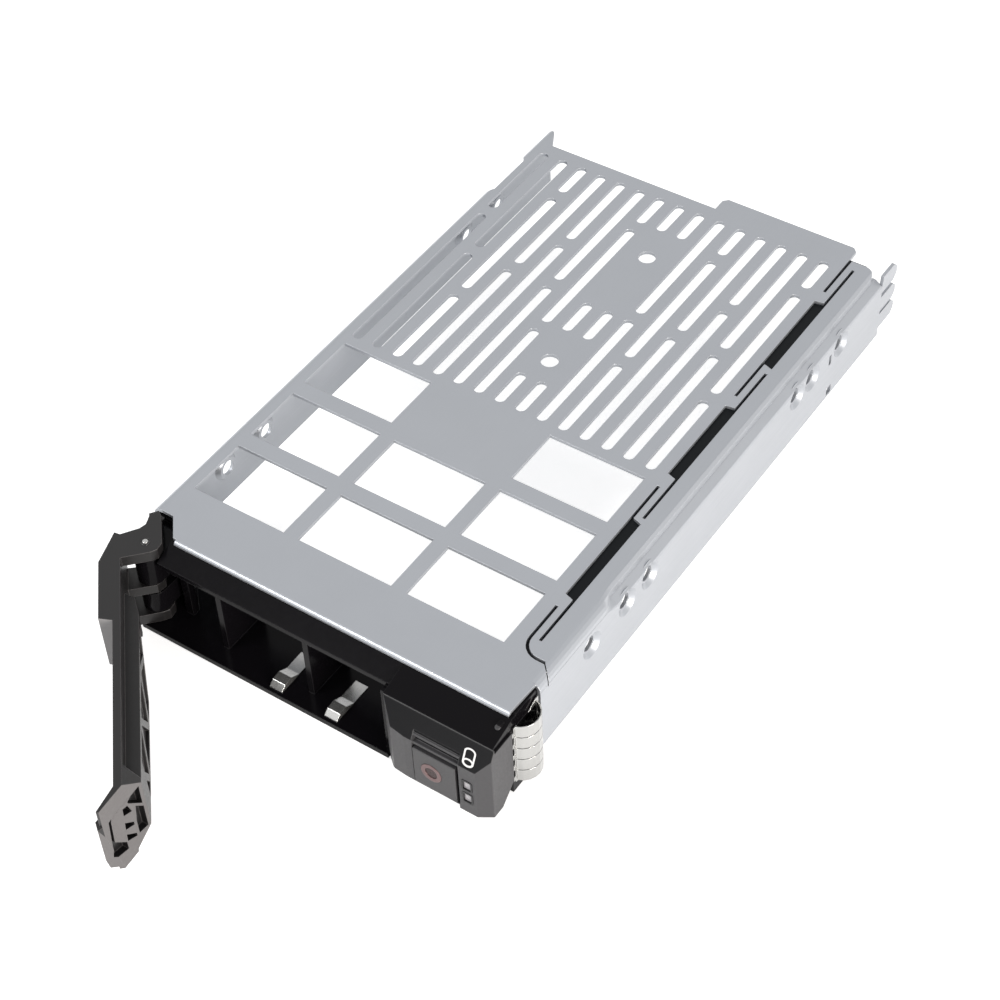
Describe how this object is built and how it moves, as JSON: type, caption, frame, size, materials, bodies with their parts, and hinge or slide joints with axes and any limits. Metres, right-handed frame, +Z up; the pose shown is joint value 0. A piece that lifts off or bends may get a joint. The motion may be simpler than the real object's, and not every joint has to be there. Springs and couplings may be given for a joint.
{
  "type": "hot swap drive caddy",
  "caption": "Folded steel hot swap drive caddy with a windowed and slotted plate, sprung right rail, black front bezel, swing-out lever and push button.",
  "frame": {"origin": "midway between the rails, in line with the plate's front edge, on the plane of the bezel's underside", "axes": "+X across towards the button, +Y from the front to the rear, +Z up from the bezel's underside to the plate"},
  "size_m": [0.1111, 0.2451, 0.026],
  "materials": {
    "tray_steel": "satin",
    "bezel_black": "gloss",
    "cover_grey": "fine texture",
    "lever_black": "satin",
    "button_grey": "satin",
    "ring_copper": "satin",
    "core_red": "gloss",
    "spring_steel": "bright",
    "lens_clear": "frosted",
    "carrier_black": "matte"
  },
  "bodies": {
    "tray": {"tray_sheet": "tray_steel", "bezel_frame": "bezel_black", "button_cover": "cover_grey", "status_lens_upper": "lens_clear", "status_lens_lower": "lens_clear", "light_pipe_upper": "lens_clear", "light_pipe_lower": "lens_clear", "light_pipe_carrier": "carrier_black", "hinge_pin": "spring_steel", "emi_spring": "spring_steel", "bezel_contact_inner": "spring_steel", "bezel_contact_outer": "spring_steel"},
    "lever": {"handle_lever": "lever_black"},
    "button": {"release_button": "button_grey", "button_ring": "ring_copper", "button_core": "core_red", "button_spring": "spring_steel"}
  },
  "joints": [
    {"name": "lever_hinge", "type": "hinge", "parent": "tray", "child": "lever", "pos_m": [-0.0472, -0.0033, 0.013], "axis": [0, 0, 1], "range_deg": [0, 49]},
    {"name": "button_slide", "type": "slide", "parent": "tray", "child": "button", "axis": [0, 1, 0], "range_m": [0, 0.0015], "stiffness_N_per_m": 400, "deforming": ["button_spring"]}
  ]
}
